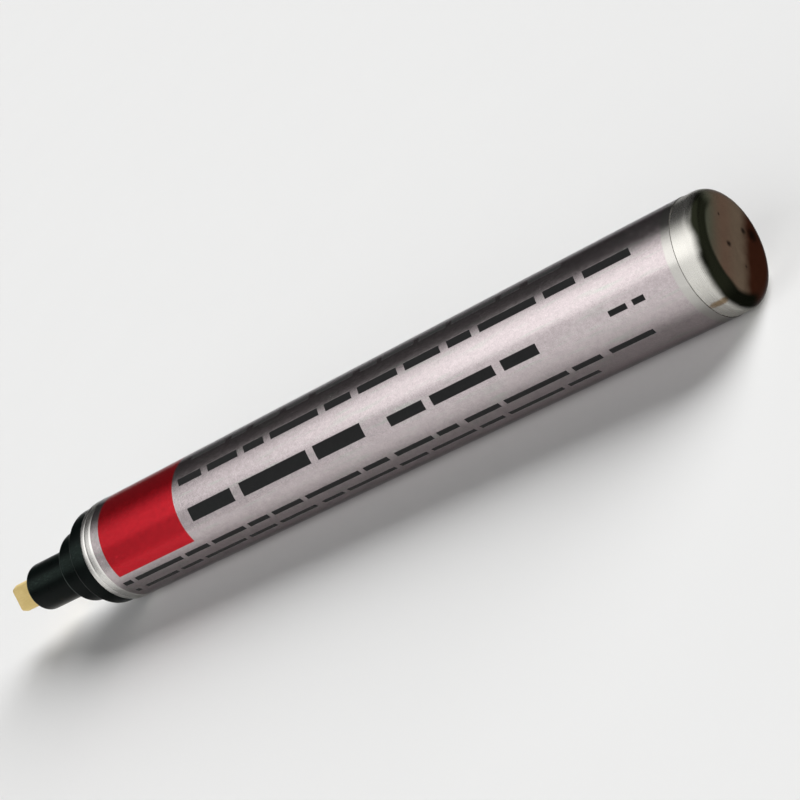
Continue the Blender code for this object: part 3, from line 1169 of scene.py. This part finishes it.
    def _nib(self) -> bpy.types.Object:
        """Lofts the nib, with worn fibre edges and a tip whose corners are cut.

        Returns:
            The nib.
        """
        bm = bmesh.new()
        stations = [(self.nib_start, self.nib_chamfer), (self.nib_start + self.nib_chamfer, 0.0)]
        length = self.nib_end - self.tip_length - self.nib_start - self.nib_chamfer
        stations += [(self.nib_start + self.nib_chamfer + length * step / self.nib_rings, 0.0)
                     for step in range(1, self.nib_rings + 1)]
        rings = [self._nib_ring(bm, x, self.nib_width / 2 - cut, self.nib_height / 2 - cut, self.nib_round)
                 for x, cut in stations]
        for step in range(1, self.tip_rings + 1):
            share = step / self.tip_rings
            half_width = self.nib_width / 2 - self.tip_side * share
            half_height = self.nib_height / 2 - self.tip_face * share
            rings.append(self._nib_ring(bm, self.nib_end - self.tip_length * (1 - share), half_width,
                                        half_height, self.nib_round * (1 - self.tip_sharper * share)))
        for ring, x in ((rings[0], self.nib_start), (rings[-1], self.nib_end)):
            inner = [bm.verts.new((x, v.co.y / 2, v.co.z / 2)) for v in ring]
            skinned(bm, [ring, inner, [bm.verts.new((x, 0.0, 0.0))]], False)
        skinned(bm, rings, False)
        return shaped("fibre_nib", bm, NibFibre(), sharp=48.0)

    def _nib_ring(
        self, bm: bmesh.types.BMesh, x: float, half_width: float, half_height: float, corner: float
    ) -> list[bmesh.types.BMVert]:
        """One ring of the nib, with a little wander in its surface inside the full size.

        Args:
            bm: The mesh.
            x: Place along the pen.
            half_width: Half the ring's width.
            half_height: Half its height.
            corner: Its corner radius.

        Returns:
            Its vertices.
        """
        across, out = print_axes()
        ring = []
        for turn in even_turns(self.nib_sides):
            reach = slot_reach(turn, half_width, half_height, corner)
            spot = across * (reach * math.cos(turn)) + out * (reach * math.sin(turn))
            place = Vector((x * self.wander_along, spot.y * self.wander_across, spot.z * self.wander_across))
            spot = spot * (1 + self.wander * min(noise.noise(place) - 0.5, 0.0))
            ring.append(bm.verts.new((x, spot.y, spot.z)))
        return ring


@dataclass
class Valve(Assembly):
    """Parts inside the collar: gasket, seat, stem, cage and the sprung coil."""

    wire: float = 0.00045
    coil_radius: float = 0.001925
    coils: float = 7.0
    # The turns at each end are closed: their wires nearly touch
    closed_turns: float = 1.0
    closed_pitch: float = 1.02
    steps_per_turn: int = 28
    wire_sides: int = 10
    spring_start: float = 0.10975
    spring_end: float = 0.11945
    cage_floor: float = 0.1097
    keep: float = 0.877

    def build(self) -> list[bpy.types.Object]:
        """Makes the spring and dresses the CAD pieces.

        Returns:
            The spring and the dressed pieces.
        """
        spring = self._spring()
        settled(spring, Body.PEN, "valve_spring")
        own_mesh(spring)
        dressed = {
            "collar_gasket": SealRubber(),
            "valve_seat": SealRubber(),
            "valve_stem": NaturalPlastic(),
            "spring_cage": NaturalPlastic(),
        }
        for node, finish in dressed.items():
            mesh = bpy.data.objects[node].data
            mesh.materials.clear()
            mesh.materials.append(finish.material())
        return [spring, *(bpy.data.objects[node] for node in dressed)]

    def _spring(self) -> bpy.types.Object:
        """Sweeps the coil, with closed turns at both ends.

        Returns:
            The spring.
        """
        bm = bmesh.new()
        radius = self.wire / 2
        rings = []
        for step in range(int(self.steps_per_turn * self.coils) + 1):
            turns = step / self.steps_per_turn
            turn = math.tau * turns
            away = Vector((0.0, math.sin(turn), math.cos(turn)))
            middle = away * self.coil_radius + Vector((self._height(turns), 0.0, 0.0))
            rings.append([
                bm.verts.new(middle + away * (radius * math.cos(t)) + Vector((radius * math.sin(t), 0, 0)))
                for t in even_turns(self.wire_sides)])
        skinned(bm, rings, False)
        bm.faces.new(rings[0])
        bm.faces.new(rings[-1])
        return shaped("spring_coil", bm, SpringSteel(), sharp=60.0)

    def _height(self, turns: float) -> float:
        """Place of the wire's middle along the pen.

        Args:
            turns: Turns wound from the rear end.

        Returns:
            The place.
        """
        low = self.spring_start + self.wire / 2
        high = self.spring_end - self.wire / 2
        pitch = self.wire * self.closed_pitch
        if turns < self.closed_turns:
            return low + pitch * turns
        if turns > self.coils - self.closed_turns:
            return high - pitch * (self.coils - turns)
        share = (turns - self.closed_turns) / (self.coils - 2 * self.closed_turns)
        return low + pitch * self.closed_turns + (high - low - 2 * pitch * self.closed_turns) * share


@dataclass(frozen=True)
class Panel:
    """A soft light round the pen's axis, which is only mirrored.

    Args:
        along: Where it starts and ends along X, as parts of the direction.
        round: Where it starts and ends as angles round X, from +Y up through +Z, in degrees.
        along_soft: How wide its ends fade.
        round_soft: How wide its sides fade, in degrees.
        strength: Radiance.
    """

    along: Point
    round: Point
    along_soft: Point
    round_soft: Point
    strength: float

    def light(self, x: Signal, angle: Signal) -> Signal:
        """Radiance of the panel.

        Args:
            x: Part of the direction along X.
            angle: Angle of the direction round X.

        Returns:
            The radiance from there.
        """
        low = angle.rise(self.round[0], self.round_soft[0])
        high = 1 - angle.rise(self.round[1], self.round_soft[1])
        rear = x.rise(self.along[0], self.along_soft[0])
        front = 1 - x.rise(self.along[1], self.along_soft[1])
        return rear * front * low * high * self.strength


@dataclass(frozen=True)
class Lamp:
    """A far, soft lamp that lights surfaces and isn't mirrored in them.

    Args:
        name: Its name.
        towards: Direction from the pen to the lamp.
        strength: Light on a surface that faces it.
        spread: Its apparent width in radians, which softens the shadows.
    """

    name: str
    towards: Triple
    strength: float
    spread: float

    def hang(self) -> None:
        """Adds the lamp to the scene."""
        data = bpy.data.lights.new(self.name, "SUN")
        data.energy = self.strength
        data.angle = self.spread
        lamp = bpy.data.objects.new(self.name, data)
        lamp.rotation_euler = Vector(self.towards).to_track_quat("Z", "Y").to_euler()
        lamp.visible_glossy = False
        bpy.context.scene.collection.objects.link(lamp)


@dataclass
class Studio:
    """Floor, lights and the camera of the photo. The world is only mirrored, and the lamps light."""

    floor_size: float = 24.0
    lens: float = 95.508
    sensor: float = 36.0
    clip: Point = (0.01, 100.0)
    eye: Triple = (-0.12774015, 0.20842171, 0.12180710)
    right: Triple = (-0.70686444, -0.25018416, -0.66162720)
    up: Triple = (-0.35431433, -0.68432541, 0.63730690)
    forward: Triple = (0.61221240, -0.68491358, -0.39508147)
    backdrop: float = 0.835
    # It is dark between the panels, and haze lies round the horizon and below it
    dark: float = 0.058
    haze: float = 0.60
    horizon_edge: Point = (0.10, 0.10)
    below_edge: Point = (-0.08, 0.10)
    key: Lamp = Lamp("key", (-0.45, -0.70, 0.55), 4.64, math.radians(56))
    fill: Lamp = Lamp("fill", (0.25, 0.93, 0.26), 2.3, math.radians(80))
    overhead: Panel = Panel((-0.97, -0.36), (50, 165), (0.08, 0.16), (12, 16), 1.5)
    streak: Panel = Panel((-0.36, 0.83), (47, 99), (0.16, 0.14), (9, 58), 1.51)
    card: Panel = Panel((-0.80, 0.80), (-6, 47), (0.20, 0.20), (14, 9), 1.02)
    # Along X the streak gains and then loses strength, and the card loses some: edges and shares
    streak_gain: tuple[Point, float] = ((0.50, 0.14), 0.30)
    streak_loss: tuple[Point, float] = ((0.645, 0.10), 0.76)
    card_loss: tuple[Point, float] = ((0.66, 0.08), 0.50)

    def build(self) -> None:
        """Sets the stage."""
        self._floor(self._lowest())
        self._world()
        self.key.hang()
        self.fill.hang()
        self._camera()

    @staticmethod
    def _lowest() -> float:
        """The height of the pieces' lowest point."""
        return min((piece.matrix_world @ v.co).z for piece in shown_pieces() for v in piece.data.vertices)

    def _floor(self, height: float) -> None:
        """Lays a large plain floor under the pen.

        Args:
            height: Its place along Z.
        """
        bm = bmesh.new()
        half = self.floor_size / 2
        corners = ((-half, -half), (half, -half), (half, half), (-half, half))
        bm.faces.new([bm.verts.new((x, y, height)) for x, y in corners])
        floor = shaped("floor", bm, PaleFloor())
        floor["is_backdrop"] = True

    def _world(self) -> None:
        """Writes the mirrored lights and the backdrop into the world, which lights no surface."""
        world = bpy.data.worlds.new("studio")
        world.use_nodes = True
        bpy.context.scene.world = world
        world.cycles_visibility.diffuse = False
        graph = Graph(world.node_tree)
        x, y, z = graph.parts(graph.node("ShaderNodeTexCoord", output="Generated"))
        angle = z.turn_from(y)
        gain, loss, card_loss = (
            x.rise(*edge) * share for edge, share in (self.streak_gain, self.streak_loss, self.card_loss))
        light = self.overhead.light(x, angle) + self.streak.light(x, angle) * (1 + gain - loss)
        light = light + self.card.light(x, angle) * (1 - card_loss)
        horizon = 1 - z.size().rise(*self.horizon_edge)
        light = light.or_more(horizon * self.haze).or_more(self.dark)
        light = light + (1 - z.rise(*self.below_edge)) * self.haze
        seen = graph.node("ShaderNodeLightPath", output="Is Camera Ray")
        light = light * (1 - seen) + seen * self.backdrop
        shader = graph.node("ShaderNodeBackground", {}, {"Color": graph.grey(light), "Strength": 1.0})
        graph.end("ShaderNodeOutputWorld", shader)

    def _camera(self) -> None:
        """Sets the camera of the photo."""
        data = bpy.data.cameras.new("camera")
        data.lens = self.lens
        data.sensor_width = self.sensor
        data.clip_start, data.clip_end = self.clip
        camera = bpy.data.objects.new("camera", data)
        back = [-value for value in self.forward]
        columns = Matrix((self.right, self.up, back)).transposed()
        camera.matrix_world = Matrix.Translation(self.eye) @ columns.to_4x4()
        scene = bpy.context.scene
        scene.collection.objects.link(camera)
        scene.camera = camera
        scene.view_settings.view_transform = "Standard"


def main() -> None:
    """Builds the whole scene and reports its pieces."""
    logging.basicConfig(level=logging.INFO)
    for assembly in (BarrelCan(), LabelWrap(), Head(), Valve()):
        for piece in assembly.build():
            LOG.info("%s: %d faces", piece.name, len(piece.data.polygons))
    Studio().build()


if __name__ == "__main__":
    main()
